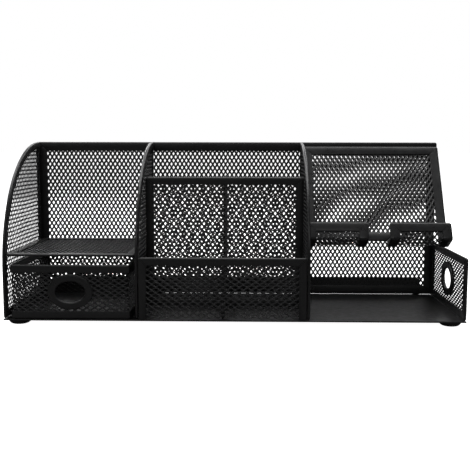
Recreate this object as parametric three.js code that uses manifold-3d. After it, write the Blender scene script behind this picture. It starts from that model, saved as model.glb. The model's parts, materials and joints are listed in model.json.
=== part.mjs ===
// Desk organizer of black expanded-metal mesh. Every mesh panel is a thin sheet held all round
// in a folded steel edge strip, and the panels stand on one folded base plate with four feet.
//
// Left bay: a shelf over a mesh drawer with a steel pan and rim. Middle bay: two tall pockets
// behind a low front pocket that has a divider of its own. Right bay: a sloped stand with a
// ledge and lip over an open cubby.
//
// Frame: origin at the bottom centre, X to the right, the front faces -Y, Z up. Millimetres.

import * as THREE from 'three';
import { mergeVertices } from 'three/addons/utils/BufferGeometryUtils.js';
import Module from 'manifold-3d';

const wasm = await Module();
wasm.setup();

// ---------------------------------------------------------------- driving dimensions

const overallWidth = 380;
const overallDepth = 118;

// Heights above the top of the base plate.
const backHeight = 146.3;
const curveStart = 40;          // the curved panels have a straight front edge up to here
const cubbyHeight = 52;         // right end panel
const shelfHeight = 54.2;       // top face of the shelf
const pocketHeight = 51.6;      // front pocket
const pocketDividerHeight = 45;
const middleWallHeight = 115.4; // also the divider behind it

// Clear widths of the bays. The right bay takes what is left of the overall width.
const leftBayWidth = 106.4;
const middleBayWidth = 139;
const middleWallSetback = 50;    // front edge of the organizer to the middle wall's front face
const shelfSetback = 1.5;

// Folded edge strip: a channel whose two flanges grip the mesh.
const stripWidth = 6.6;
const wideStripWidth = 8.4;     // on the back panel and the stand
const stripThickness = 2.4;
const stripWall = 0.6;
const meshThickness = 0.6;

// Base plate with a turned-up rear edge.
const plateThickness = 1.2;
const upstandHeight = 16.4;     // above the plate's top face
const upstandInset = 12;        // each end of the upstand to the end of the plate
const slotRise = 0.6;           // slots along the plate's bend, above the plate's top face
const slotInset = 6;            // each end of a slot to the end of its bay or of the upstand

// Rubber feet.
const footDiameter = 18.6;
const footFaceDiameter = 11;
const footHeight = 4.3;
const footInsetX = 10.2;        // centre to the end of the plate
const footInsetY = 12.5;        // centre to the front or back edge of the plate

// Sloped stand: one blank folded into a back, a ledge and a lip.
const standLean = 30;           // degrees from the vertical
const standDrop = 3.7;          // top of the stand below the top of the back panel
const ledgeDepth = 16;
const lipHeight = 15.6;
const notchWidth = 18.4;        // cable notch through the lip and the ledge
const notchRise = 4.6;          // how far the notch runs up into the stand's back

// Drawer.
const drawerSideGap = 3.7;      // drawer to the walls of its bay
const drawerBackGap = 4;
const drawerTop = 45.3;
const drawerCornerRadius = 2.6; // outside, seen from above
const panRise = 6.4;            // height of the pan's turned-up edge

// Oval finger grommets. Their height is what the drawer's mesh leaves room for.
const gripLength = 24.6;
const grommetBorder = 6;
const grommetRoom = 1.2;        // above and below the grommet, to the drawer's rim and pan

// Clearances.
const seatGap = 0.3;            // between pieces that touch or are fixed to each other
const drawerLift = 0.4;         // under the sliding drawer

// Facets.
const curveSegments = 28;
const ovalSegments = 40;
const bendSegments = 6;
const cornerSegments = 4;
const footSegments = 36;

// ---------------------------------------------------------------- derived places

const frontY = -overallDepth / 2;
const backY = overallDepth / 2;
const leftX = -overallWidth / 2;
const rightX = overallWidth / 2;
const plateTop = footHeight + seatGap + plateThickness;

// The inside of the plate's bend is as tight as the gap that the back panel keeps to it.
const bendInside = seatGap;
const bendOutside = bendInside + plateThickness;

// Panels are placed by their middle plane.
const half = stripThickness / 2;
const backPanelY = backY - plateThickness - seatGap - half;
const panelBackY = backPanelY - half - seatGap;
const leftEndX = leftX + half;
const rightEndX = rightX - half;
const leftDividerX = leftEndX + half + leftBayWidth + half;
const rightDividerX = leftDividerX + half + middleBayWidth + half;
const centreX = (leftDividerX + rightDividerX) / 2;
const middleWallY = frontY + middleWallSetback + half;
const pocketFrontY = frontY + half;

const panTop = drawerLift + panRise;
const rimBottom = drawerTop - stripWidth;
const gripHeight = rimBottom - panTop - 2 * (grommetRoom + grommetBorder);

// ---------------------------------------------------------------- finishes

const finishes = {
  strip: { color: 0x232324, roughness: 0.42, metalness: 0.1 },
  mesh: { color: 0x1b1b1c, roughness: 0.5, metalness: 0.1 },
  plate: { color: 0x29292a, roughness: 0.38, metalness: 0.1 },
  rubber: { color: 0x141414, roughness: 0.85, metalness: 0 },
};

// ---------------------------------------------------------------- shapes and solids

const organizer = new THREE.Group();

// Everything above the base plate is drawn from the plate's top face.
const onPlate = new THREE.Group();
onPlate.position.z = plateTop;
organizer.add(onPlate);

const drawer = new THREE.Group();
onPlate.add(drawer);

function addMesh(parent, name, geometry, finish) {
  const mesh = new THREE.Mesh(geometry, new THREE.MeshStandardMaterial(finishes[finish]));
  mesh.name = name;
  parent.add(mesh);
  return mesh;
}

function solid(geometry) {
  const bare = new THREE.BufferGeometry();
  const flat = geometry.index ? geometry.toNonIndexed() : geometry;
  bare.setAttribute('position', flat.getAttribute('position'));
  const merged = mergeVertices(bare, 1e-4);
  return new wasm.Manifold(new wasm.Mesh({
    numProp: 3,
    vertProperties: new Float32Array(merged.getAttribute('position').array),
    triVerts: new Uint32Array(merged.index.array),
  }));
}

function geometryOf(manifold) {
  const mesh = manifold.getMesh();
  const geometry = new THREE.BufferGeometry();
  geometry.setAttribute('position', new THREE.BufferAttribute(mesh.vertProperties, 3));
  geometry.setIndex(new THREE.BufferAttribute(mesh.triVerts, 1));
  const faceted = geometry.toNonIndexed();
  faceted.computeVertexNormals();
  return faceted;
}

// A slab with the outline's shape in XY, centred on Z = 0.
function slab(outline, thickness) {
  const geometry = new THREE.ExtrudeGeometry(new THREE.Shape(outline), {
    depth: thickness,
    bevelEnabled: false,
  });
  return geometry.translate(0, 0, -thickness / 2);
}

// Counter-clockwise from its low corner, so the third point is the opposite corner.
function rectangle(x0, y0, x1, y1) {
  return [
    new THREE.Vector2(x0, y0),
    new THREE.Vector2(x1, y0),
    new THREE.Vector2(x1, y1),
    new THREE.Vector2(x0, y1),
  ];
}

// A solid with the outline's shape in XY, from one height to another.
function upright(outline, z0, z1) {
  return solid(slab(outline, z1 - z0).translate(0, 0, (z0 + z1) / 2));
}

function roundedRectangle(x0, y0, x1, y1, radius) {
  const corners = rectangle(x0 + radius, y0 + radius, x1 - radius, y1 - radius);
  return corners.flatMap((corner, i) => {
    const points = [];
    for (let k = 0; k <= cornerSegments; k++) {
      const angle = (Math.PI / 2) * (i + 2 + k / cornerSegments);
      const away = new THREE.Vector2(Math.cos(angle), Math.sin(angle));
      points.push(corner.clone().addScaledVector(away, radius));
    }
    return points;
  });
}

function oval(centreX, centreY, length, height) {
  const points = [];
  for (let i = 0; i < ovalSegments; i++) {
    const angle = (2 * Math.PI * i) / ovalSegments;
    const x = centreX + (length / 2) * Math.cos(angle);
    const y = centreY + (height / 2) * Math.sin(angle);
    points.push(new THREE.Vector2(x, y));
  }
  return points;
}

// Where two lines meet. A line has a point and a unit direction.
function crossing(first, second) {
  const apart = second.point.clone().sub(first.point);
  const along = apart.cross(second.direction) / first.direction.cross(second.direction);
  return first.point.clone().addScaledVector(first.direction, along);
}

// Moves every edge of a counter-clockwise outline inwards by the distance. An edge that would
// turn round, because the outline is too tight there for its length, is left out.
function inset(outline, distance) {
  const last = (list, i) => list[(i + list.length - 1) % list.length];
  const next = (list, i) => list[(i + 1) % list.length];
  let lines = outline.map((point, i) => {
    const direction = next(outline, i).clone().sub(point).normalize();
    const inward = new THREE.Vector2(-direction.y, direction.x);
    return { point: point.clone().addScaledVector(inward, distance), direction };
  });
  for (;;) {
    const corners = lines.map((line, i) => crossing(last(lines, i), line));
    const kept = lines.filter((line, i) => (
      next(corners, i).clone().sub(corners[i]).dot(line.direction) > 0
    ));
    if (kept.length === lines.length) return corners;
    lines = kept;
  }
}

// The sheet lies in the strips' groove with the seat gap on both faces and at its edge.
const grooveThickness = meshThickness + 2 * seatGap;
const sheetInset = stripWall + seatGap;
const throughCut = 4 * stripThickness;
const windowCut = 1.5 * stripThickness;

const axisX = new THREE.Vector3(1, 0, 0);
const axisY = new THREE.Vector3(0, 1, 0);
const axisZ = new THREE.Vector3(0, 0, 1);

// How a panel faces: where its outline's two axes and its normal point.
const facings = {
  end: new THREE.Matrix4().makeBasis(axisY, axisZ, axisX),
  front: new THREE.Matrix4().makeBasis(axisX, axisZ, axisY.clone().negate()),
  level: new THREE.Matrix4(),
};
const normalAxis = { end: 'x', front: 'y', level: 'z' };

function place(mesh, facing, at) {
  mesh.quaternion.setFromRotationMatrix(facings[facing]);
  mesh.position[normalAxis[facing]] = at;
}

// A grommet is an oval ring with a groove round its outside that the mesh sits in. Its centre
// is in the middle of the panel's outline.
function gripCentre(outline) {
  return outline[0].clone().add(outline[2]).divideScalar(2);
}

function ovalRoundGrip(centre, border) {
  return oval(centre.x, centre.y, gripLength + 2 * border, gripHeight + 2 * border);
}

function grommetSolid(centre) {
  const rim = ovalRoundGrip(centre, grommetBorder);
  const beyondRim = ovalRoundGrip(centre, 2 * grommetBorder);
  const neck = solid(slab(ovalRoundGrip(centre, stripWall), throughCut));
  const groove = solid(slab(beyondRim, grooveThickness)).subtract(neck);
  const hole = solid(slab(ovalRoundGrip(centre, 0), throughCut));
  return solid(slab(rim, stripThickness)).subtract(groove).subtract(hole);
}

// A mesh sheet framed by a folded strip that runs all round the outline, or leaves its lower
// edge open.
function framedPanel(name, facing, at, outline, options = {}) {
  const { width = stripWidth, hasGrip = false, isOpenBelow = false } = options;
  const add = (suffix, shape, finish) => {
    place(addMesh(onPlate, `${name}_${suffix}`, geometryOf(shape), finish), facing, at);
  };
  const opening = slab(inset(outline, width), throughCut);
  const groove = slab(inset(outline, stripWall), grooveThickness);
  let frame = solid(slab(outline, stripThickness)).subtract(solid(opening));
  if (isOpenBelow) frame = frame.subtract(solid(opening.translate(0, -2 * width, 0)));
  add('frame', frame.subtract(solid(groove)), 'strip');

  let sheet = solid(slab(inset(outline, sheetInset), meshThickness));
  if (hasGrip) {
    const centre = gripCentre(outline);
    add('grommet', grommetSolid(centre), 'strip');
    sheet = sheet.subtract(solid(slab(ovalRoundGrip(centre, sheetInset), throughCut)));
  }
  add('mesh', sheet, 'mesh');
}

// ---------------------------------------------------------------- base plate and feet

function buildBasePlate() {
  const bendY = backY - bendOutside;
  const section = new THREE.Shape();
  section.moveTo(frontY, -plateThickness);
  section.lineTo(bendY, -plateThickness);
  section.absarc(bendY, bendInside, bendOutside, -Math.PI / 2, 0, false);
  section.lineTo(backY, upstandHeight);
  section.lineTo(backY - plateThickness, upstandHeight);
  section.absarc(bendY, bendInside, bendInside, 0, -Math.PI / 2, true);
  section.lineTo(frontY, 0);

  const upstandLength = overallWidth - 2 * upstandInset;
  const folded = new THREE.ExtrudeGeometry(section, {
    depth: upstandLength,
    bevelEnabled: false,
    curveSegments: bendSegments,
  });
  folded.applyMatrix4(facings.end);
  folded.translate(-upstandLength / 2, 0, 0);

  // Past the ends of the upstand the plate stays flat and stops where the bend begins.
  const flat = slab(rectangle(leftX, frontY, rightX, bendY), plateThickness);
  flat.translate(0, 0, -plateThickness / 2);
  const plate = bendSlots(upstandLength / 2).reduce(
    (whole, slot) => whole.subtract(slot),
    solid(folded).add(solid(flat)),
  );
  addMesh(onPlate, 'base_plate', geometryOf(plate), 'plate');
}

// One slot along the bend behind each bay, as far out as the upstand reaches.
function bendSlots(reach) {
  const walls = [leftEndX, leftDividerX, rightDividerX, rightEndX];
  return walls.slice(1).map((wallX, i) => {
    const x0 = Math.max(walls[i] + half, -reach) + slotInset;
    const x1 = Math.min(wallX - half, reach) - slotInset;
    const opening = rectangle(x0, backY - bendOutside, x1, backY + slotRise);
    return upright(opening, -2 * plateThickness, slotRise);
  });
}

function buildFeet() {
  const faceRadius = footFaceDiameter / 2;
  const rise = new THREE.EllipseCurve(
    faceRadius, footHeight, footDiameter / 2 - faceRadius, footHeight, -Math.PI / 2, 0,
  );
  const profile = [
    new THREE.Vector2(0, 0),
    ...rise.getPoints(bendSegments),
    new THREE.Vector2(0, footHeight),
  ];
  const x = overallWidth / 2 - footInsetX;
  const y = overallDepth / 2 - footInsetY;
  for (const [side, sideName] of [[-1, 'left'], [1, 'right']]) {
    for (const [end, endName] of [[-1, 'front'], [1, 'rear']]) {
      const geometry = new THREE.LatheGeometry(profile, footSegments);
      geometry.rotateX(Math.PI / 2);
      const foot = addMesh(organizer, `foot_${endName}_${sideName}`, geometry, 'rubber');
      foot.position.set(side * x, end * y, 0);
    }
  }
}

// ---------------------------------------------------------------- fixed panels

// End panels and bay dividers: straight up at the front, then a quarter ellipse to the top
// of the back. The outline's x is the depth and its y is the height.
function curvedOutline() {
  const points = [
    new THREE.Vector2(frontY, seatGap),
    new THREE.Vector2(panelBackY, seatGap),
  ];
  const reach = panelBackY - frontY;
  const climb = backHeight - curveStart;
  for (let i = 0; i <= curveSegments; i++) {
    const angle = ((Math.PI / 2) * i) / curveSegments;
    points.push(new THREE.Vector2(
      panelBackY - reach * Math.sin(angle),
      curveStart + climb * Math.cos(angle),
    ));
  }
  return points;
}

function buildEndsAndBack() {
  const curved = curvedOutline();
  framedPanel('left_end', 'end', leftEndX, curved);
  framedPanel('left_divider', 'end', leftDividerX, curved);
  framedPanel('right_divider', 'end', rightDividerX, curved);

  const cubbyEnd = rectangle(frontY, seatGap, panelBackY, cubbyHeight);
  framedPanel('cubby_end', 'end', rightEndX, cubbyEnd, { hasGrip: true });

  const back = rectangle(leftX, seatGap, rightX, backHeight);
  framedPanel('back', 'front', backPanelY, back, { width: wideStripWidth });
}

function buildMiddleBay() {
  const x0 = leftDividerX + half + seatGap;
  const x1 = rightDividerX - half - seatGap;
  const wall = rectangle(x0, seatGap, x1, middleWallHeight);
  framedPanel('middle_wall', 'front', middleWallY, wall);

  const pocket = rectangle(x0, seatGap, x1, pocketHeight);
  framedPanel('front_pocket', 'front', pocketFrontY, pocket, { isOpenBelow: true });

  const wallBackY = middleWallY + half + seatGap;
  const rearDivider = rectangle(wallBackY, seatGap, panelBackY, middleWallHeight);
  framedPanel('rear_pocket_divider', 'end', centreX, rearDivider);

  const pocketBackY = pocketFrontY + half + seatGap;
  const wallFrontY = middleWallY - half - seatGap;
  const frontDivider = rectangle(pocketBackY, seatGap, wallFrontY, pocketDividerHeight);
  framedPanel('front_pocket_divider', 'end', centreX, frontDivider);
}

function buildShelf() {
  const x0 = leftEndX + half + seatGap;
  const x1 = leftDividerX - half - seatGap;
  const shelf = rectangle(x0, frontY + shelfSetback, x1, panelBackY);
  framedPanel('shelf', 'level', shelfHeight - half, shelf);
}

// ---------------------------------------------------------------- sloped stand

// The blank is drawn flat: x across the stand, y down its back, out along the ledge and up
// the lip. Each leaf starts at a fold, runs in its own direction and faces its own way.
function standLeaves() {
  const lean = THREE.MathUtils.degToRad(standLean);
  const foldHeight = cubbyHeight + seatGap + half * (Math.cos(lean) + Math.sin(lean));
  const topY = panelBackY - half * Math.cos(lean);
  const topZ = backHeight - standDrop - half * Math.sin(lean);
  const backLength = (topZ - foldHeight) / Math.cos(lean);

  const down = new THREE.Vector3(0, -Math.sin(lean), -Math.cos(lean));
  const out = new THREE.Vector3(0, -Math.cos(lean), Math.sin(lean));
  const up = down.clone().negate();
  const top = new THREE.Vector3(0, topY, topZ);
  const fold = top.clone().addScaledVector(down, backLength);
  const edge = fold.clone().addScaledVector(out, ledgeDepth);
  const lipStart = backLength + ledgeDepth;
  return [
    { from: 0, to: backLength, start: top, along: down },
    { from: backLength, to: lipStart, start: fold, along: out },
    { from: lipStart, to: lipStart + lipHeight, start: edge, along: up },
  ];
}

function standBlank(leaves, x0, x1) {
  const backLength = leaves[0].to;
  const blankLength = leaves[2].to;
  const notchEnd = backLength - notchRise;
  const notchLeft = (x0 + x1 - notchWidth) / 2;
  const notchRight = notchLeft + notchWidth;
  return [
    new THREE.Vector2(x0, 0),
    new THREE.Vector2(x1, 0),
    new THREE.Vector2(x1, blankLength),
    new THREE.Vector2(notchRight, blankLength),
    new THREE.Vector2(notchRight, notchEnd),
    new THREE.Vector2(notchLeft, notchEnd),
    new THREE.Vector2(notchLeft, blankLength),
    new THREE.Vector2(x0, blankLength),
  ];
}

// Folds a flat slab along the leaves. Each leaf runs half the thickness past its folds, which
// squares the outside of every corner.
function foldedSlab(outline, thickness, leaves) {
  const pieces = leaves.map((leaf) => {
    const normal = new THREE.Vector3().crossVectors(axisX, leaf.along);
    const matrix = new THREE.Matrix4().makeBasis(axisX, leaf.along, normal);
    matrix.setPosition(leaf.start.clone().addScaledVector(leaf.along, -leaf.from));
    const ends = [leaf.from - thickness / 2, leaf.to + thickness / 2];
    const band = rectangle(-overallWidth, ends[0], overallWidth, ends[1]);
    const sheet = solid(slab(outline, thickness).applyMatrix4(matrix));
    return sheet.intersect(solid(slab(band, 2 * thickness).applyMatrix4(matrix)));
  });
  return pieces.reduce((whole, piece) => whole.add(piece));
}

function buildStand() {
  const x0 = rightDividerX + half + seatGap;
  const leaves = standLeaves();
  const blank = standBlank(leaves, x0, rightX);
  const frame = foldedSlab(blank, stripThickness, leaves)
    .subtract(foldedSlab(inset(blank, wideStripWidth), windowCut, leaves))
    .subtract(foldedSlab(inset(blank, stripWall), grooveThickness, leaves));
  addMesh(onPlate, 'stand_frame', geometryOf(frame), 'strip');

  const sheet = foldedSlab(inset(blank, sheetInset), meshThickness, leaves);
  addMesh(onPlate, 'stand_mesh', geometryOf(sheet), 'mesh');
}

// ---------------------------------------------------------------- drawer

// The part of an upright body that lies between two insets of its outline.
function ring(outline, outerInset, innerInset, z0, z1) {
  const outer = upright(inset(outline, outerInset), z0, z1);
  return outer.subtract(upright(inset(outline, innerInset), z0, z1));
}

// One strip of mesh folded round into four walls. It stands in a pan and ends in a rim, which
// is a channel like the panels' edge strips.
function buildDrawer() {
  const x0 = leftEndX + half + drawerSideGap;
  const x1 = leftDividerX - half - drawerSideGap;
  const drawerBackY = panelBackY - drawerBackGap;
  const plan = roundedRectangle(x0, frontY, x1, drawerBackY, drawerCornerRadius);
  const floorTop = drawerLift + stripWall;

  const pan = upright(plan, drawerLift, panTop)
    .subtract(upright(inset(plan, stripWall), floorTop, panTop));
  addMesh(drawer, 'drawer_pan', geometryOf(pan), 'plate');

  const channelInset = stripThickness - stripWall;
  const rim = ring(plan, 0, stripThickness, rimBottom, drawerTop)
    .subtract(ring(plan, stripWall, channelInset, rimBottom, drawerTop - stripWall));
  addMesh(drawer, 'drawer_rim', geometryOf(rim), 'strip');

  const gripAt = gripCentre(rectangle(x0, panTop, x1, rimBottom));
  const grommet = addMesh(drawer, 'drawer_grommet', geometryOf(grommetSolid(gripAt)), 'strip');
  place(grommet, 'front', frontY + half);

  const hole = slab(ovalRoundGrip(gripAt, sheetInset), throughCut);
  hole.applyMatrix4(facings.front).translate(0, frontY + half, 0);
  const sheetTop = drawerTop - sheetInset;
  const sheet = ring(plan, sheetInset, sheetInset + meshThickness, floorTop + seatGap, sheetTop);
  addMesh(drawer, 'drawer_wall', geometryOf(sheet.subtract(solid(hole))), 'mesh');
}

buildBasePlate();
buildFeet();
buildEndsAndBack();
buildMiddleBay();
buildShelf();
buildStand();
buildDrawer();

export default organizer;
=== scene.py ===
"""The looks of the desk organizer: real diamond mesh, folded edge strips, finishes and studio.

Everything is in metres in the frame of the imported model, which gives the place, the outline
and the size of every panel. The pieces built here stand for the plain solids of that model.
"""
import json
import math

import bmesh
import bpy
import numpy as np
from mathutils import Matrix, Vector


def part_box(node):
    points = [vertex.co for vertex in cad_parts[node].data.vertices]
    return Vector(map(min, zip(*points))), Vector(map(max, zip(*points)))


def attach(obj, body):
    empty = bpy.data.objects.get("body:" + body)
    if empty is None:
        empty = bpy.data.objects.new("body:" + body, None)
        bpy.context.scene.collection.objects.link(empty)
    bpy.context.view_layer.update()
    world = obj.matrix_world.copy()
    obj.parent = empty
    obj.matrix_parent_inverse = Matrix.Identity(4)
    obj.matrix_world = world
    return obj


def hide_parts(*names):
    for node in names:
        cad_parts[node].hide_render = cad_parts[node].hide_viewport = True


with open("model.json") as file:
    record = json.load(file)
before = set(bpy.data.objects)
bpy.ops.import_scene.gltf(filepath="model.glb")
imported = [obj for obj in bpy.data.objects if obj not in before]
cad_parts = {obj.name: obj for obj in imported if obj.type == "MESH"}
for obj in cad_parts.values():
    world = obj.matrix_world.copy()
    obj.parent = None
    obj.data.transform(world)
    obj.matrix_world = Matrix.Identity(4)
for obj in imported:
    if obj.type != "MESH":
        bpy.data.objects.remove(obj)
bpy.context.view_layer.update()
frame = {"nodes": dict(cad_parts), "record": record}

MM = 0.001

# ------------------------------------------------------------------ sizes

# Expanded mesh: the pitch the long and the short way of its diamonds, and the strands' width.
# The widths are chosen panel by panel, for how dark each panel looks in the photograph.
FINE_PITCH = (6.65 * MM, 4.15 * MM)
COARSE_PITCH = (6.86 * MM, 4.7 * MM)
BACK_STRAND = 1.74 * MM
STAND_STRAND = 1.3 * MM
MIDDLE_WALL_STRAND = 1.2 * MM
POCKET_STRAND = 0.84 * MM
PLAIN_STRAND = 0.96 * MM
SHEET = 0.36 * MM
STRAND_TILT = 0.24 * MM # how far the strands lean out of the sheet
BLUNT = 0.09            # how much of each corner of a diamond opening is cut off
SHEET_EDGE = 0.9 * MM   # the mesh stops this far inside the outer edge of its strips
WARP = 0.22 * MM        # how far a sheet is stretched out of true in its own plane
WARP_LENGTH = 74 * MM

# Folded edge strips.
STRIP = 6.6 * MM
WIDE_STRIP = 8.4 * MM
STRIP_HALF = 1.2 * MM
STRIP_WALL = 0.6 * MM
FLANGE_LIP = 0.35 * MM
NOSE_STEPS = 8
CORNER_RADIUS = 1.7 * MM
JOINT_GROOVE = 0.22 * MM
JOINT_GAP = 0.05 * MM

# Front joints between the straight and the curved strips, above the strips' lower edge.
SEAM_HEIGHTS = {"left_end": 38 * MM, "left_divider": 38 * MM, "right_divider": 33 * MM}

# Oval finger grommets.
GROMMET_BORDER = 6 * MM
GROMMET_STEPS = 72

# Drawer.
DRAWER_CORNER = 2.6 * MM
DRAWER_CORNER_STEPS = 6

# Base plate.
PLATE = 1.2 * MM
BEND_RADIUS = 0.9 * MM
SLOT_RISE = 0.6 * MM
SLOT_INSET = 6 * MM

# Stand: a blank folded into a back, a ledge and a lip.
STAND_LEAN = math.radians(30)
LEDGE_DEPTH = 16 * MM
LIP_HEIGHT = 15.6 * MM
NOTCH_WIDTH = 18.4 * MM
NOTCH_RISE = 4.6 * MM
FOLD_RADIUS = 1.6 * MM

# Camera and picture.
CAMERA_AT = (0.01186, -0.6515, 0.1441)
CAMERA_YAW = math.radians(1.058)
CAMERA_PITCH = math.radians(6.532)
CAMERA_ROLL = math.radians(0.112)
CAMERA_LENS = 56.45

# Light around the object: which way it is bright, and how bright away from it and towards it.
WORLD_BRIGHT_WAY = (0.0, 0.35, 0.94)
WORLD_STOPS = ((0.0, 0.10), (1.0, 0.3))
FLOOR_GLOW = 1.0
FLOOR_DIM = 0.16       # how bright the floor is as the object's surroundings see it


class Sheet:
    """How a panel's mesh is laid: its pitch and strands, the way it runs, and its tilt."""

    def __init__(self, pitch, strand, way, tilt=-1, strip=STRIP, is_open_below=False):
        self.pitch = pitch
        self.strand = strand
        self.is_upright = way == "up"
        self.tilt = tilt
        self.strip = strip
        self.is_open_below = is_open_below


PANELS = {
    "back": Sheet(FINE_PITCH, BACK_STRAND, "up", tilt=-0.3, strip=WIDE_STRIP),
    "left_end": Sheet(FINE_PITCH, PLAIN_STRAND, "up", tilt=0.22),
    "left_divider": Sheet(FINE_PITCH, PLAIN_STRAND, "up"),
    "right_divider": Sheet(FINE_PITCH, PLAIN_STRAND, "up", tilt=1),
    "cubby_end": Sheet(FINE_PITCH, BACK_STRAND, "across"),
    "middle_wall": Sheet(COARSE_PITCH, MIDDLE_WALL_STRAND, "across", tilt=-1.6),
    "rear_pocket_divider": Sheet(FINE_PITCH, PLAIN_STRAND, "up"),
    "front_pocket": Sheet(COARSE_PITCH, POCKET_STRAND, "across", tilt=-1.8, is_open_below=True),
    "front_pocket_divider": Sheet(FINE_PITCH, PLAIN_STRAND, "up"),
    "shelf": Sheet(FINE_PITCH, PLAIN_STRAND, "up", tilt=1.4),
}
STAND_SHEET = Sheet(FINE_PITCH, STAND_STRAND, "up", strip=WIDE_STRIP)
DRAWER_SHEET = Sheet(FINE_PITCH, PLAIN_STRAND, "across", tilt=-1.6)


# ------------------------------------------------------------------ materials


class Nodes:
    """A material's node tree, with short calls to add to it."""

    def __init__(self, name):
        self.material = bpy.data.materials.new(name)
        self.material.use_nodes = True
        self.tree = self.material.node_tree
        self.shader = self.tree.nodes["Principled BSDF"]
        self.place = self.add("ShaderNodeTexCoord").outputs["Object"]

    def add(self, kind, **values):
        node = self.tree.nodes.new(kind)
        for key, value in values.items():
            setattr(node, key, value)
        return node

    def link(self, source, target):
        self.tree.links.new(source, target)

    def noise(self, scale, detail=2.0, roughness=0.5):
        node = self.add("ShaderNodeTexNoise")
        node.inputs["Scale"].default_value = scale
        node.inputs["Detail"].default_value = detail
        node.inputs["Roughness"].default_value = roughness
        self.link(self.place, node.inputs["Vector"])
        return node.outputs["Fac"]

    def ramp(self, source, stops):
        node = self.add("ShaderNodeValToRGB")
        elements = node.color_ramp.elements
        while len(elements) < len(stops):
            elements.new(0.5)
        for element, (at, value) in zip(elements, stops):
            element.position = at
            element.color = (*value, 1) if isinstance(value, tuple) else (value, value, value, 1)
        self.link(source, node.inputs["Fac"])
        return node.outputs["Color"]

    def math(self, operation, first, second):
        node = self.add("ShaderNodeMath", operation=operation)
        for socket, value in zip(node.inputs, (first, second)):
            if isinstance(value, (int, float)):
                socket.default_value = value
            else:
                self.link(value, socket)
        return node.outputs["Value"]

    def bump(self, height, distance, strength=1.0, before=None):
        node = self.add("ShaderNodeBump")
        node.inputs["Strength"].default_value = strength
        node.inputs["Distance"].default_value = distance
        self.link(height, node.inputs["Height"])
        if before is not None:
            self.link(before, node.inputs["Normal"])
        return node.outputs["Normal"]


def powder_coat(name, dark, light, rough, orange_peel):
    """Black satin powder coat: orange-peel texture, fine speckle, soft dust and rubbed spots."""
    nodes = Nodes(name)
    cloudy = nodes.noise(38, detail=3)
    speckle = nodes.noise(2600, detail=1)
    rubbed = nodes.noise(210, detail=5, roughness=0.65)

    tone = nodes.math("ADD", nodes.math("MULTIPLY", cloudy, 0.6), nodes.math("MULTIPLY", speckle, 0.4))
    nodes.link(
        nodes.ramp(tone, [(0.3, (dark, dark, dark * 1.04)), (0.72, (light, light, light * 1.04))]),
        nodes.shader.inputs["Base Color"],
    )
    low, high = rough
    uneven = nodes.math("ADD", nodes.math("MULTIPLY", rubbed, 0.7), nodes.math("MULTIPLY", cloudy, 0.3))
    nodes.link(nodes.ramp(uneven, [(0.3, low), (0.7, high)]), nodes.shader.inputs["Roughness"])

    peel = nodes.noise(1100, detail=2)
    nodes.link(nodes.bump(peel, orange_peel), nodes.shader.inputs["Normal"])
    nodes.shader.inputs["Specular IOR Level"].default_value = 0.45
    return nodes.material


def rubber(name):
    """Matt black rubber with a moulded grain and a little dust in it."""
    nodes = Nodes(name)
    dust = nodes.noise(260, detail=4, roughness=0.7)
    nodes.link(
        nodes.ramp(dust, [(0.35, (0.008, 0.008, 0.008)), (0.8, (0.03, 0.029, 0.027))]),
        nodes.shader.inputs["Base Color"],
    )
    nodes.link(nodes.ramp(dust, [(0.3, 0.7), (0.75, 0.95)]), nodes.shader.inputs["Roughness"])
    nodes.link(nodes.bump(nodes.noise(2400, detail=2), 0.06 * MM), nodes.shader.inputs["Normal"])
    return nodes.material


COATS = {
    "strip": powder_coat("coat_on_strips", 0.004, 0.009, (0.24, 0.40), 0.05 * MM),
    "mesh": powder_coat("coat_on_mesh", 0.010, 0.020, (0.34, 0.52), 0.04 * MM),
    "plate": powder_coat("coat_on_plate", 0.006, 0.012, (0.28, 0.42), 0.06 * MM),
    "rubber": rubber("foot_rubber"),
}


# ------------------------------------------------------------------ making pieces


def add_piece(name, vertices, faces, slot, body, replaced, smooth_angle=None):
    """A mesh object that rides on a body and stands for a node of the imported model."""
    mesh = bpy.data.meshes.new(name)
    mesh.from_pydata([tuple(v) for v in vertices], [], [tuple(map(int, f)) for f in faces])
    mesh.validate()
    if smooth_angle is not None:
        mesh.shade_smooth()
        mesh.set_sharp_from_angle(angle=smooth_angle)
    mesh.materials.append(COATS[slot])
    piece = bpy.data.objects.new(name, mesh)
    bpy.context.scene.collection.objects.link(piece)
    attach(piece, body)
    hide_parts(replaced)
    return piece


def face_outwards(piece):
    shape = bmesh.new()
    shape.from_mesh(piece.data)
    bmesh.ops.recalc_face_normals(shape, faces=shape.faces)
    shape.to_mesh(piece.data)
    shape.free()


def body_of_node(node):
    for body, nodes in frame["record"]["behaviour"]["bodies"].items():
        if node in nodes:
            return body
    raise KeyError(node)


# ------------------------------------------------------------------ panels as planes


class Panel:
    """The plane of a flat panel, with its outline in that plane, from its frame node."""

    def __init__(self, name):
        node = f"{name}_frame"
        low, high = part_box(node)
        size = high - low
        self.thin = min(range(3), key=lambda axis: size[axis])
        self.across, self.up = {0: (1, 2), 1: (0, 2), 2: (0, 1)}[self.thin]
        self.side = -1 if self.thin == 1 else 1
        self.middle = (low[self.thin] + high[self.thin]) / 2
        points = np.array([v.co[:] for v in frame["nodes"][node].data.vertices])
        self.outline = convex_outline(points[:, [self.across, self.up]])

    def to_space(self, flat, height):
        """Points of the panel's plane, raised by their height, in the row frame."""
        space = np.zeros((len(flat), 3))
        space[:, self.across] = flat[:, 0]
        space[:, self.up] = flat[:, 1]
        space[:, self.thin] = self.middle + self.side * np.asarray(height)
        return space

    def centre(self):
        return (self.outline.min(0) + self.outline.max(0)) / 2


def cross2(a, b):
    return a[0] * b[1] - a[1] * b[0]


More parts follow.
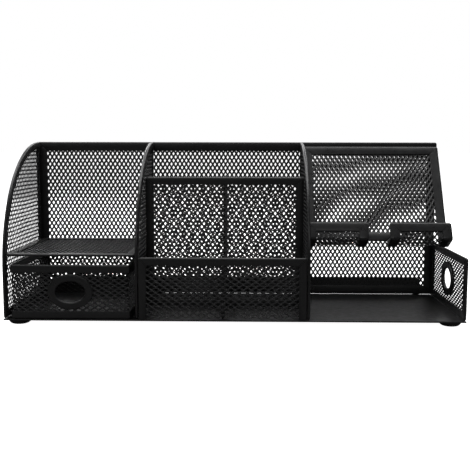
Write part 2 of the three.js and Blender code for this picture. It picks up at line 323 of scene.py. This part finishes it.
def convex_outline(points):
    """The convex hull of 2-D points, counter-clockwise."""
    ordered = sorted({(round(float(x), 6), round(float(y), 6)) for x, y in points})
    halves = []
    for run in (ordered, ordered[::-1]):
        hull = []
        for point in run:
            while len(hull) > 1 and cross2(
                np.subtract(hull[-1], hull[-2]), np.subtract(point, hull[-1])
            ) <= 1e-10:
                hull.pop()
            hull.append(point)
        halves += hull[:-1]
    return np.array(halves)


# ------------------------------------------------------------------ expanded mesh


def edge_limits(outline, distance):
    """One limit for each edge of a convex outline: stay the distance inside it."""
    limits = []
    for start, end in zip(outline, np.roll(outline, -1, axis=0)):
        along = (end - start) / np.linalg.norm(end - start)
        inward = np.array([-along[1], along[0]])
        limits.append(lambda p, s=start, n=inward: ((p - s) @ n - distance, np.tile(n, (len(p), 1))))
    return limits


def oval_limit(centre, radii):
    """Stay outside an oval."""

    def limit(points):
        away = (points - centre) / radii
        reach = np.maximum(np.linalg.norm(away, axis=1), 1e-9)
        direction = away * radii / np.linalg.norm(away * radii, axis=1)[:, None].clip(1e-12)
        return (reach - 1) * min(radii), direction

    return limit


def notch_limit(centre, half_width, top):
    """Stay outside a notch that is open downwards: beside it, or above its top edge."""

    def limit(points):
        side = np.where(points[:, 0] < centre, -1.0, 1.0)
        beside = np.abs(points[:, 0] - centre) - half_width
        above = top - points[:, 1]
        pick = beside > above
        direction = np.where(pick[:, None], np.stack([side, 0 * side], 1), [[0.0, -1.0]])
        return np.maximum(beside, above), direction

    return limit


def diamond_mesh(low, high, sheet, limits, phase=0.0):
    """Flat expanded mesh over a rectangle: points, their tilt, and faces.

    Each diamond tile has an eight-cornered opening. Tiles keep to the limits: one whose centre
    breaks a limit is left out, and a point that breaks one is moved back to it.
    """
    pitch = sheet.pitch[::-1] if sheet.is_upright else sheet.pitch
    steps = [max(2, round((high[k] - low[k]) / (pitch[k] / 2))) for k in (0, 1)]
    half = np.array([(high[k] - low[k]) / steps[k] for k in (0, 1)])
    i, j = np.meshgrid(np.arange(steps[0] + 1), np.arange(steps[1] + 1), indexing="ij")
    tiles = np.stack([i.ravel(), j.ravel()], 1)
    tiles = tiles[tiles.sum(1) % 2 == 0]
    centres = low + tiles * half
    for limit in limits:
        kept = limit(centres)[0] > 0
        tiles, centres = tiles[kept], centres[kept]

    corner_keys = [tiles + step for step in ((1, 0), (0, 1), (-1, 0), (0, -1))]
    keys, index = np.unique(np.concatenate(corner_keys), axis=0, return_inverse=True)
    corner = index.reshape(4, len(tiles))

    inset = sheet.strand / 2 * np.hypot(*half) / half[::-1]
    width, height = half - inset
    ring = np.array([
        [width * (1 - BLUNT), height * BLUNT], [width * BLUNT, height * (1 - BLUNT)],
        [-width * BLUNT, height * (1 - BLUNT)], [-width * (1 - BLUNT), height * BLUNT],
        [-width * (1 - BLUNT), -height * BLUNT], [-width * BLUNT, -height * (1 - BLUNT)],
        [width * BLUNT, -height * (1 - BLUNT)], [width * (1 - BLUNT), -height * BLUNT],
    ])
    short = 0 if sheet.is_upright else 1
    lean = -sheet.tilt * STRAND_TILT * ring[:, short] / np.abs(ring[:, short]).max()
    opening = (centres[:, None] + ring[None]).reshape(-1, 2)
    hole = len(keys) + np.arange(8 * len(tiles)).reshape(len(tiles), 8).T
    points = np.concatenate([low + keys * half, opening])
    wave = 2 * math.pi * points[:, ::-1] / WARP_LENGTH + phase
    points = points + WARP * np.sin(wave) * np.cos(1.7 * wave[:, ::-1])
    tilt = np.concatenate([np.zeros(len(keys)), np.tile(lean, len(tiles))])
    for _ in range(2):
        for limit in limits:
            depth, direction = limit(points)
            points = points + direction * np.maximum(0, -depth)[:, None]

    east, north, west, south = corner
    quads = np.concatenate([
        np.stack(q, 1) for q in (
            (east, north, hole[1], hole[0]), (north, west, hole[3], hole[2]),
            (west, south, hole[5], hole[4]), (south, east, hole[7], hole[6]),
        )
    ])
    triangles = np.concatenate([
        np.stack(t, 1) for t in (
            (north, hole[2], hole[1]), (west, hole[4], hole[3]),
            (south, hole[6], hole[5]), (east, hole[0], hole[7]),
        )
    ])
    return points, tilt, quads, triangles


def thicken(points, tilt, quads, triangles):
    """Gives flat faces a thickness: heights, and faces of the top, the underside and the walls."""
    count = len(points)
    edges = {}
    for block in (quads, triangles):
        for k in range(block.shape[1]):
            for a, b in zip(block[:, k], block[:, (k + 1) % block.shape[1]]):
                edges[(int(a), int(b))] = True
    walls = [(a, a + count, b + count, b) for a, b in edges if (b, a) not in edges]
    faces = [tuple(f) for block in (quads, triangles) for f in block]
    faces += [tuple(int(v) + count for v in f[::-1]) for f in faces]
    heights = np.concatenate([tilt + SHEET / 2, tilt - SHEET / 2])
    return np.concatenate([points, points]), heights, faces + walls


def build_panel_mesh(name, panel, sheet):
    limits = edge_limits(panel.outline, SHEET_EDGE)
    if name == "cubby_end":
        radii = grip_radii("cubby_end_grommet", panel.across, panel.up)
        limits.append(oval_limit(panel.centre(), radii))
    low = panel.outline.min(0) + SHEET_EDGE
    high = panel.outline.max(0) - SHEET_EDGE
    phase = list(PANELS).index(name)
    points, heights, faces = thicken(*diamond_mesh(low, high, sheet, limits, phase))
    add_piece(
        f"{name}_diamond_mesh", panel.to_space(points, heights), faces,
        "mesh", body_of_node(f"{name}_mesh"), f"{name}_mesh",
    )


def grip_radii(node, across, up):
    """Half axes of the groove's neck in a grommet, where the mesh around it stops."""
    low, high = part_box(node)
    border = GROMMET_BORDER - STRIP_WALL - 0.2 * MM
    return np.array([high[across] - low[across], high[up] - low[up]]) / 2 - border


# ------------------------------------------------------------------ folded strips


def strip_section(width):
    """A folded strip's section: distance from its outer edge, and height. A closed loop."""
    loop = []
    for side in (1, -1):
        tip = [
            (width, side * STRIP_WALL),
            (width, side * (STRIP_HALF - FLANGE_LIP)),
            (width - 0.3 * FLANGE_LIP, side * (STRIP_HALF - 0.3 * FLANGE_LIP)),
            (width - FLANGE_LIP, side * STRIP_HALF),
        ]
        loop += tip if side > 0 else [("nose", None)] + tip[::-1]
    nose = []
    for step in range(NOSE_STEPS + 1):
        angle = math.pi / 2 + math.pi * step / NOSE_STEPS
        nose.append((STRIP_HALF * (1 + math.cos(angle)), STRIP_HALF * math.sin(angle)))
    at = loop.index(("nose", None))
    loop[at : at + 1] = nose
    return np.array(loop + [(STRIP_WALL, -STRIP_WALL), (STRIP_WALL, STRIP_WALL)])


SECTIONS = {width: strip_section(width) for width in (STRIP, WIDE_STRIP)}


class Station:
    """Where the strip's section stands on its way round a panel."""

    def __init__(self, point, inward, pull=0.0, flatten=1.0):
        self.point = np.array(point)
        self.inward = np.array(inward)
        self.pull = pull
        self.flatten = flatten

    def places(self, section):
        fade = np.clip(1 - section[:, 0] / (2.5 * MM), 0, 1)
        inset = section[:, 0] + self.pull * fade
        return self.point + self.inward * inset[:, None], section[:, 1] * self.flatten


def run_end(point, inward, along, cornered):
    """Stations from the joint at a run's end to where the plain strip begins."""
    stations = []
    if cornered:
        for turn in (math.pi / 4, math.pi / 8, 0):
            ahead = CORNER_RADIUS * (math.cos(turn) - math.sin(turn))
            pull = CORNER_RADIUS * (1 - math.cos(turn))
            stations.append(Station(point + along * max(ahead, JOINT_GAP), inward, pull))
    else:
        stations.append(Station(point + along * JOINT_GAP, inward))
    first = stations[0]
    stations[0] = Station(first.point, inward, first.pull, 0.86)
    stations.insert(1, Station(first.point + along * JOINT_GROOVE, inward, first.pull))
    return stations


def sweep_runs(runs, section):
    """Joins the runs of a strip, each a closed body, into one set of points and faces."""
    flat, heights, faces = [], [], []
    size = len(section)
    for stations in runs:
        start = sum(len(block) for block in flat)
        for station in stations:
            points, height = station.places(section)
            flat.append(points)
            heights.append(height)
        for k in range(len(stations) - 1):
            a, b = start + k * size, start + (k + 1) * size
            for m in range(size):
                n = (m + 1) % size
                faces.append((a + m, a + n, b + n, b + m))
        faces.append(tuple(start + m for m in reversed(range(size))))
        end = start + (len(stations) - 1) * size
        faces.append(tuple(end + m for m in range(size)))
    return np.concatenate(flat), np.concatenate(heights), faces


def outline_runs(outline, seam=None, is_open_below=False):
    """Splits an outline at its corners, and its front edge at a seam, into runs of stations."""
    count = len(outline)
    ahead = np.roll(outline, -1, axis=0) - outline
    along = ahead / np.linalg.norm(ahead, axis=1)[:, None]
    normal = np.stack([-along[:, 1], along[:, 0]], 1)
    miters = []
    for k in range(count):
        before, after = normal[k - 1], normal[k]
        miters.append((before + after) / (1 + before @ after))
    corners = [k for k in range(count) if along[k - 1] @ along[k] < 0.7]
    is_foot = is_open_below & (outline[:, 1] < outline[:, 1].min() + 0.1 * MM)
    runs = []
    for first, last in zip(corners, corners[1:] + [corners[0] + count]):
        start, end = first, last % count
        if is_foot[start] and is_foot[end]:
            continue
        before_end = (last - 1) % count
        opening = normal[start] if is_foot[start] else miters[start]
        closing = normal[before_end] if is_foot[end] else miters[end]
        stations = run_end(outline[start], opening, along[start], not is_foot[start])
        for k in range(first + 1, last):
            stations.append(Station(outline[k % count], miters[k % count]))
        stations += run_end(outline[end], closing, -along[before_end], not is_foot[end])[::-1]
        runs += split_at_seam(stations, seam) if seam is not None else [stations]
    return runs


def split_at_seam(stations, seam):
    """Cuts a run in two where its straight front edge passes the seam's height."""
    for k in range(len(stations) - 1):
        a, b = stations[k].point, stations[k + 1].point
        is_front_edge = abs(a[0] - b[0]) < 0.2 * MM and a[1] > b[1]
        if is_front_edge and b[1] < seam < a[1]:
            along = (b - a) / np.linalg.norm(b - a)
            joint = a + (b - a) * (seam - a[1]) / (b[1] - a[1])
            inward = np.array([1.0, 0.0])
            above = run_end(joint, inward, -along, False)[::-1]
            below = run_end(joint, inward, along, False)
            return [stations[: k + 1] + above, below + stations[k + 1 :]]
    return [stations]


def build_strips(name, panel, sheet):
    seam = None
    if name in SEAM_HEIGHTS:
        seam = panel.outline[:, 1].min() + SEAM_HEIGHTS[name]
    runs = outline_runs(panel.outline, seam, sheet.is_open_below)
    points, heights, faces = sweep_runs(runs, SECTIONS[sheet.strip])
    piece = add_piece(
        f"{name}_strips", panel.to_space(points, heights), faces,
        "strip", body_of_node(f"{name}_frame"), f"{name}_frame", math.radians(35),
    )
    face_outwards(piece)


# ------------------------------------------------------------------ closed loops


def sweep_loop(places):
    """Faces of a section taken round a closed loop. Places: one array of points per station."""
    size = len(places[0])
    faces = []
    for k in range(len(places)):
        a, b = k * size, (k + 1) % len(places) * size
        for m in range(size):
            n = (m + 1) % size
            faces.append((a + m, a + n, b + n, b + m))
    return np.concatenate(places), faces


def build_grommet(node, name, across, up):
    """The strip's rolled section taken round the oval, with its nose at the hole."""
    low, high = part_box(node)
    thin = 3 - across - up
    outer = np.array([high[across] - low[across], high[up] - low[up]]) / 2
    centre = np.array([high[across] + low[across], high[up] + low[up]]) / 2
    section = SECTIONS[STRIP]
    share = section[:, 0] / STRIP
    places = []
    for step in range(GROMMET_STEPS):
        angle = 2 * math.pi * step / GROMMET_STEPS
        direction = np.array([math.cos(angle), math.sin(angle)])
        flat = centre + direction * (outer - GROMMET_BORDER * (1 - share[:, None]))
        place = np.zeros((len(section), 3))
        place[:, across] = flat[:, 0]
        place[:, up] = flat[:, 1]
        place[:, thin] = (low[thin] + high[thin]) / 2 + section[:, 1]
        places.append(place)
    points, faces = sweep_loop(places)
    piece = add_piece(name, points, faces, "strip", body_of_node(node), node, math.radians(35))
    face_outwards(piece)


# ------------------------------------------------------------------ drawer


class DrawerPlan:
    """The drawer's outline from above: a rectangle with round corners, from the rear middle."""

    def __init__(self):
        low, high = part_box("drawer_rim")
        self.low, self.high = low, high
        self.corners = [
            ((high.x - DRAWER_CORNER, high.y - DRAWER_CORNER), 1),
            ((low.x + DRAWER_CORNER, high.y - DRAWER_CORNER), 2),
            ((low.x + DRAWER_CORNER, low.y + DRAWER_CORNER), 3),
            ((high.x - DRAWER_CORNER, low.y + DRAWER_CORNER), 4),
        ]

    def ring(self, inset):
        """Corner points of the outline, moved inwards, with the way out at each of them."""
        places, ways = [], []
        for centre, quarter in self.corners:
            for step in range(DRAWER_CORNER_STEPS + 1):
                angle = math.pi / 2 * (quarter - 1 + step / DRAWER_CORNER_STEPS)
                way = np.array([math.cos(angle), math.sin(angle)])
                places.append(np.array(centre) + way * (DRAWER_CORNER - inset))
                ways.append(way)
        return np.array(places), np.array(ways)

    def walk(self, inset):
        """The outline from its rear middle and back: points, ways out and distances walked."""
        places, ways = self.ring(inset)
        turn = DRAWER_CORNER_STEPS + 1
        places, ways = np.roll(places, -turn, axis=0), np.roll(ways, -turn, axis=0)
        rear = np.array([[(self.low.x + self.high.x) / 2, self.high.y - inset]])
        places = np.concatenate([rear, places, rear])
        ways = np.concatenate([[[0.0, 1.0]], ways, [[0.0, 1.0]]])
        steps = np.linalg.norm(np.diff(places, axis=0), axis=1)
        return places, ways, np.concatenate([[0.0], np.cumsum(steps)])


def build_drawer_wall(plan):
    """One sheet of mesh folded round the drawer; its ends meet in the middle of the rear."""
    inset = STRIP_HALF
    places, ways, walked = plan.walk(inset)
    low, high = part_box("drawer_wall")
    grip_low, grip_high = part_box("drawer_grommet")
    centre = np.array([walked[-1] / 2, (grip_low.z + grip_high.z) / 2])
    radii = grip_radii("drawer_grommet", 0, 2)
    edge = 0.3 * MM
    start, end = np.array([edge, low.z]), np.array([walked[-1] - edge, high.z])
    rectangle = np.array([start, (end[0], start[1]), end, (start[0], end[1])])
    limits = edge_limits(rectangle, 0.0) + [oval_limit(centre, radii)]
    flat, heights, faces = thicken(*diamond_mesh(start, end, DRAWER_SHEET, limits, 3.0))
    space = np.zeros((len(flat), 3))
    for axis in (0, 1):
        away = np.interp(flat[:, 0], walked, ways[:, axis])
        space[:, axis] = np.interp(flat[:, 0], walked, places[:, axis]) + away * heights
    space[:, 2] = flat[:, 1]
    add_piece(
        "drawer_wall_diamond_mesh", space, faces,
        "mesh", body_of_node("drawer_wall"), "drawer_wall",
    )


def build_drawer_rim(plan):
    section = SECTIONS[STRIP]
    places = []
    middle, ways = plan.ring(STRIP_HALF)
    for point, way in zip(middle, ways):
        place = np.zeros((len(section), 3))
        place[:, :2] = point + way * section[:, 1][:, None]
        place[:, 2] = plan.high.z - section[:, 0]
        places.append(place)
    points, faces = sweep_loop(places)
    piece = add_piece(
        "drawer_rim_strip", points, faces,
        "strip", body_of_node("drawer_rim"), "drawer_rim", math.radians(35),
    )
    face_outwards(piece)


def build_drawer_pan(plan):
    """The folded pan: a floor whose edges turn up round a small bend into a low lip."""
    low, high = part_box("drawer_pan")
    wall, bend = STRIP_WALL, 1.0 * MM
    chamfer = 0.2 * MM
    turns = [math.pi / 2 * step / 4 for step in range(5)]
    inner = bend - wall
    rings = []
    for turn in turns:
        rings.append((wall + inner * (1 - math.sin(turn)), low.z + wall + inner * (1 - math.cos(turn))))
    rings += [
        (wall, high.z - chamfer), (wall - 0.75 * chamfer, high.z),
        (0.75 * chamfer, high.z), (0.0, high.z - chamfer),
    ]
    for turn in turns:
        rings.append((bend * (1 - math.cos(turn)), low.z + bend * (1 - math.sin(turn))))
    points, faces = [], []
    for inset, z in rings:
        ring, _ = plan.ring(inset)
        points += [(x, y, z) for x, y in ring]
    size = len(points) // len(rings)
    for k in range(len(rings) - 1):
        for m in range(size):
            n = (m + 1) % size
            faces.append((k * size + m, k * size + n, (k + 1) * size + n, (k + 1) * size + m))
    faces.append(tuple(range(size)))
    faces.append(tuple((len(rings) - 1) * size + m for m in reversed(range(size))))
    piece = add_piece(
        "drawer_pan_sheet", points, faces,
        "plate", body_of_node("drawer_pan"), "drawer_pan", math.radians(35),
    )
    face_outwards(piece)


def build_drawer():
    plan = DrawerPlan()
    build_drawer_wall(plan)
    build_drawer_rim(plan)
    build_drawer_pan(plan)
    build_grommet("drawer_grommet", "drawer_finger_grommet", 0, 2)


# ------------------------------------------------------------------ stand


class StandPath:
    """The stand's blank, folded: maps a distance down the blank to a place and a direction."""

    def __init__(self):
        low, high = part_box("stand_frame")
        sine, cosine = math.sin(STAND_LEAN), math.cos(STAND_LEAN)
        self.left, self.right = low.x, high.x
        top = Vector((high.y - STRIP_HALF * cosine, high.z - STRIP_HALF * sine))
        fold_z = low.z + STRIP_HALF * (cosine + sine)
        self.back = (top.y - fold_z) / cosine
        self.ledge_end = self.back + LEDGE_DEPTH
        self.length = self.ledge_end + LIP_HEIGHT
        down, out = Vector((-sine, -cosine)), Vector((-cosine, sine))
        fold = top + down * self.back
        self.leaves = [
            (0.0, top, down),
            (self.back, fold, out),
            (self.ledge_end, fold + out * LEDGE_DEPTH, -down),
        ]
        self.notch_centre = (self.left + self.right) / 2
        self.notch_top = self.back - NOTCH_RISE

    def at(self, s):
        """Place and direction in the YZ plane, with each fold rounded."""
        for k in (1, 2):
            start, corner, out = self.leaves[k]
            into = self.leaves[k - 1][2]
            if abs(s - start) < FOLD_RADIUS:
                turned = (s - start + FOLD_RADIUS) / (2 * FOLD_RADIUS) * math.pi / 2
                centre = corner - into * FOLD_RADIUS + out * FOLD_RADIUS
                place = centre + (into * math.sin(turned) - out * math.cos(turned)) * FOLD_RADIUS
                return place, into * math.cos(turned) + out * math.sin(turned)
        start, corner, along = self.leaves[0]
        for leaf in self.leaves[1:]:
            if s >= leaf[0]:
                start, corner, along = leaf
        return corner + along * (s - start), along

    def to_space(self, flat, heights):
        space = []
        for (x, s), height in zip(flat, heights):
            place, along = self.at(s)
            # The sheet's face turns with it: X cross the direction down the blank.
            normal = Vector((-along.y, along.x))
            lifted = place + normal * height
            space.append((x, lifted.x, lifted.y))
        return np.array(space)


def build_stand():
    path = StandPath()
    half_notch = NOTCH_WIDTH / 2
    low = np.array([path.left, 0.0])
    high = np.array([path.right, path.length])
    rectangle = np.array([low, (high[0], low[1]), high, (low[0], high[1])])
    limits = edge_limits(rectangle, SHEET_EDGE)
    limits.append(notch_limit(path.notch_centre, half_notch + SHEET_EDGE, path.notch_top - SHEET_EDGE))
    flat = diamond_mesh(low + SHEET_EDGE, high - SHEET_EDGE, STAND_SHEET, limits, 5.0)
    points, heights, faces = thicken(*flat)
    add_piece(
        "stand_diamond_mesh", path.to_space(points, heights), faces,
        "mesh", body_of_node("stand_mesh"), "stand_mesh",
    )

    left, right = path.notch_centre - half_notch, path.notch_centre + half_notch
    blank = np.array([
        low, (high[0], low[1]), high, (right, high[1]),
        (right, path.notch_top), (left, path.notch_top), (left, high[1]), (low[0], high[1]),
    ])
    runs = [bend_stations(run, path) for run in outline_runs(blank)]
    points, heights, faces = sweep_runs(runs, SECTIONS[STAND_SHEET.strip])
    piece = add_piece(
        "stand_strips", path.to_space(points, heights), faces,
        "strip", body_of_node("stand_frame"), "stand_frame", math.radians(35),
    )
    face_outwards(piece)


def bend_stations(stations, path):
    """Adds stations round each fold that a run crosses, so that its strip bends smoothly."""
    result = [stations[0]]
    for after in stations[1:]:
        before = result[-1]
        length = after.point[1] - before.point[1]
        extra = []
        for fold in (path.back, path.ledge_end):
            for step in range(-3, 4):
                s = fold + FOLD_RADIUS * step / 3
                share = (s - before.point[1]) / length if length else -1
                if 0.001 < share < 0.999:
                    extra.append((share, s))
        for share, s in sorted(extra):
            x = before.point[0] + (after.point[0] - before.point[0]) * share
            inward = np.array([np.sign(before.inward[0]) * 1.0, 0.0])
            result.append(Station((x, s), inward))
        result.append(after)
    return result


# ------------------------------------------------------------------ plates and feet


def rounded_edges(piece, width):
    bevel = piece.modifiers.new("rounded_edges", "BEVEL")
    bevel.width = width
    bevel.segments = 3
    bevel.limit_method = "ANGLE"
    bevel.angle_limit = math.radians(50)
    bevel.harden_normals = True


def slot_ranges(reach):
    """Where the slots along the plate's bend run, one behind each bay."""
    walls = ["left_end_frame", "left_divider_frame", "right_divider_frame", "cubby_end_frame"]
    boxes = [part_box(wall) for wall in walls]
    for before, after in zip(boxes, boxes[1:]):
        yield max(before[1].x, -reach) + SLOT_INSET, min(after[0].x, reach) - SLOT_INSET


def build_base_plate():
    """A grid over the folded surface, given its thickness by a modifier."""
    low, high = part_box("base_plate")
    vertices = np.array([v.co[:] for v in frame["nodes"]["base_plate"].data.vertices])
    reach = vertices[vertices[:, 2] > high.z - 0.1 * MM][:, 0].max()
    slots = list(slot_ranges(reach))
    middle = low.z + PLATE / 2
    wall = high.y - PLATE / 2
    flat_rows, bend_rows = 14, 6
    path = [(y, middle) for y in np.linspace(low.y, wall - BEND_RADIUS, flat_rows)]
    for step in range(1, bend_rows + 1):
        angle = math.pi / 2 * step / bend_rows
        path.append((
            wall - BEND_RADIUS + BEND_RADIUS * math.sin(angle),
            middle + BEND_RADIUS * (1 - math.cos(angle)),
        ))
    slot_top = low.z + PLATE + SLOT_RISE
    path += [(wall, z) for z in np.linspace(slot_top, high.z, 4)]
    columns = sorted({low.x, high.x, -reach, reach, *(x for slot in slots for x in slot)})
    fine = [x for a, b in zip(columns, columns[1:]) for x in np.linspace(a, b, 9)[:-1]]
    columns = [*fine, high.x]
    points = [(x, y, z) for x in columns for y, z in path]
    rows = len(path)
    slot_rows = range(flat_rows - 1, flat_rows + bend_rows)
    faces = []
    for c in range(len(columns) - 1):
        centre = (columns[c] + columns[c + 1]) / 2
        in_slot = any(a < centre < b for a, b in slots)
        for r in range(rows - 1):
            is_slot = in_slot and r in slot_rows
            is_past_upstand = abs(centre) > reach and r >= flat_rows - 1
            if is_slot or is_past_upstand:
                continue
            a = c * rows + r
            faces.append((a, a + rows, a + rows + 1, a + 1))
    used = sorted({v for f in faces for v in f})
    index = {v: k for k, v in enumerate(used)}
    piece = add_piece(
        "folded_base_plate", [points[v] for v in used],
        [tuple(index[v] for v in f) for f in faces],
        "plate", body_of_node("base_plate"), "base_plate", math.radians(35),
    )
    sheet = piece.modifiers.new("sheet", "SOLIDIFY")
    sheet.thickness = PLATE
    sheet.offset = 0
    sheet.use_even_offset = True
    rounded_edges(piece, 0.3 * MM)


def build_feet():
    """Domed rubber bumpers with a moulded rim and a shallow dish underneath."""
    for node in frame["nodes"]:
        if not node.startswith("foot_"):
            continue
        low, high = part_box(node)
        radius = (high.x - low.x) / 2
        height = high.z - low.z
        centre = ((low.x + high.x) / 2, (low.y + high.y) / 2)
        face = 0.56 * radius
        profile = [(0.0, 0.25 * MM), (0.55 * face, 0.25 * MM), (0.72 * face, 0.0), (face, 0.0)]
        steps = 10
        for step in range(1, steps + 1):
            angle = math.pi / 2 * step / steps
            profile.append((
                face + (radius - face) * math.sin(angle),
                (height - 0.5 * MM) * (1 - math.cos(angle)),
            ))
        profile += [(radius, height - 0.15 * MM), (radius - 0.15 * MM, height), (0.0, height)]
        around = 48
        points, faces = [], []
        for r, z in profile:
            for k in range(around):
                angle = 2 * math.pi * k / around
                x = centre[0] + r * math.cos(angle)
                y = centre[1] + r * math.sin(angle)
                points.append((x, y, low.z + z))
        for m in range(len(profile) - 1):
            for k in range(around):
                n = (k + 1) % around
                a, b = m * around, (m + 1) * around
                faces.append((a + k, a + n, b + n, b + k))
        piece = add_piece(
            node.replace("foot", "rubber_foot"), points, faces,
            "rubber", body_of_node(node), node, math.radians(40),
        )
        shape = bmesh.new()
        shape.from_mesh(piece.data)
        bmesh.ops.remove_doubles(shape, verts=shape.verts, dist=0.001 * MM)
        bmesh.ops.recalc_face_normals(shape, faces=shape.faces)
        shape.to_mesh(piece.data)
        shape.free()


# ------------------------------------------------------------------ studio


def build_camera():
    data = bpy.data.cameras.new("photo_camera")
    data.lens = CAMERA_LENS
    data.sensor_width = 36
    camera = bpy.data.objects.new("photo_camera", data)
    forward = Vector((
        -math.sin(CAMERA_YAW) * math.cos(CAMERA_PITCH),
        math.cos(CAMERA_YAW) * math.cos(CAMERA_PITCH),
        -math.sin(CAMERA_PITCH),
    ))
    right = Vector((math.cos(CAMERA_YAW), math.sin(CAMERA_YAW), 0))
    up = right.cross(forward)
    rolled_right = right * math.cos(CAMERA_ROLL) + up * math.sin(CAMERA_ROLL)
    rolled_up = up * math.cos(CAMERA_ROLL) - right * math.sin(CAMERA_ROLL)
    turn = Matrix((rolled_right, rolled_up, -forward)).transposed().to_4x4()
    camera.matrix_world = Matrix.Translation(CAMERA_AT) @ turn
    bpy.context.scene.collection.objects.link(camera)
    bpy.context.scene.camera = camera


def build_light(name, at, aim, size, power):
    data = bpy.data.lights.new(name, "AREA")
    data.shape = "RECTANGLE"
    data.size, data.size_y = size
    data.energy = power
    light = bpy.data.objects.new(name, data)
    light.location = at
    light.rotation_euler = (Vector(aim) - Vector(at)).to_track_quat("-Z", "Y").to_euler()
    light.visible_camera = False
    bpy.context.scene.collection.objects.link(light)


def build_world():
    """White where the camera looks past the object; softer light, brighter above, elsewhere."""
    world = bpy.data.worlds.new("studio")
    bpy.context.scene.world = world
    world.use_nodes = True
    tree = world.node_tree
    tree.nodes.clear()
    seen = tree.nodes.new("ShaderNodeBackground")
    seen.inputs["Color"].default_value = (1, 1, 1, 1)
    lighting = tree.nodes.new("ShaderNodeBackground")
    lighting.inputs["Strength"].default_value = 1.0
    place = tree.nodes.new("ShaderNodeTexCoord")
    toward = tree.nodes.new("ShaderNodeVectorMath")
    toward.operation = "DOT_PRODUCT"
    toward.inputs[1].default_value = WORLD_BRIGHT_WAY
    ramp = tree.nodes.new("ShaderNodeValToRGB")
    for element, (at, value) in zip(ramp.color_ramp.elements, WORLD_STOPS):
        element.position = at
        element.color = (value, value, value * 1.03, 1)
    ray = tree.nodes.new("ShaderNodeLightPath")
    mix = tree.nodes.new("ShaderNodeMixShader")
    output = tree.nodes.new("ShaderNodeOutputWorld")
    tree.links.new(place.outputs["Generated"], toward.inputs[0])
    tree.links.new(toward.outputs["Value"], ramp.inputs["Fac"])
    tree.links.new(ramp.outputs["Color"], lighting.inputs["Color"])
    tree.links.new(ray.outputs["Is Camera Ray"], mix.inputs["Fac"])
    tree.links.new(lighting.outputs["Background"], mix.inputs[1])
    tree.links.new(seen.outputs["Background"], mix.inputs[2])
    tree.links.new(mix.outputs["Shader"], output.inputs["Surface"])


def build_floor():
    mesh = bpy.data.meshes.new("floor")
    reach = 40.0
    mesh.from_pydata(
        [(-reach, -reach, 0), (reach, -reach, 0), (reach, reach, 0), (-reach, reach, 0)],
        [], [(0, 1, 2, 3)],
    )
    nodes = Nodes("pale_floor")
    nodes.shader.inputs["Base Color"].default_value = (0.8, 0.8, 0.8, 1)
    nodes.shader.inputs["Roughness"].default_value = 0.8
    nodes.shader.inputs["Specular IOR Level"].default_value = 0.1
    nodes.shader.inputs["Emission Color"].default_value = (1, 1, 1, 1)
    nodes.shader.inputs["Emission Strength"].default_value = FLOOR_GLOW
    bounced = nodes.add("ShaderNodeBsdfDiffuse")
    bounced.inputs["Color"].default_value = (FLOOR_DIM, FLOOR_DIM, FLOOR_DIM, 1)
    ray = nodes.add("ShaderNodeLightPath")
    mix = nodes.add("ShaderNodeMixShader")
    nodes.link(ray.outputs["Is Camera Ray"], mix.inputs["Fac"])
    nodes.link(bounced.outputs["BSDF"], mix.inputs[1])
    nodes.link(nodes.shader.outputs["BSDF"], mix.inputs[2])
    nodes.link(mix.outputs["Shader"], nodes.tree.nodes["Material Output"].inputs["Surface"])
    mesh.materials.append(nodes.material)
    floor = bpy.data.objects.new("floor", mesh)
    bpy.context.scene.collection.objects.link(floor)


def build_studio():
    build_camera()
    build_world()
    build_floor()
    build_light("top_softbox", (0.0, 0.15, 1.25), (0, 0, 0.05), (1.6, 0.9), 19)
    build_light("left_softbox", (-1.3, 0.1, 0.8), (0, 0, 0.08), (0.7, 0.9), 2.4)
    build_light("front_fill", (-0.3, -1.5, 0.9), (0, 0, 0.08), (1.2, 0.6), 4)
    build_light("rear_softbox", (0.0, 1.2, 0.7), (0, 0, 0.08), (1.6, 0.5), 4.5)
    build_light("rear_left_softbox", (-0.9, 1.3, 0.5), (0, 0, 0.08), (1.0, 0.7), 7)
    build_light("rear_right_softbox", (1.0, 1.2, 0.4), (0, 0, 0.08), (0.8, 0.7), 5)
    bpy.context.scene.view_settings.view_transform = "Standard"


build_studio()
for panel_name, panel_sheet in PANELS.items():
    flat_panel = Panel(panel_name)
    build_panel_mesh(panel_name, flat_panel, panel_sheet)
    build_strips(panel_name, flat_panel, panel_sheet)
build_grommet("cubby_end_grommet", "cubby_end_finger_grommet", 1, 2)
build_stand()
build_drawer()
build_base_plate()
build_feet()
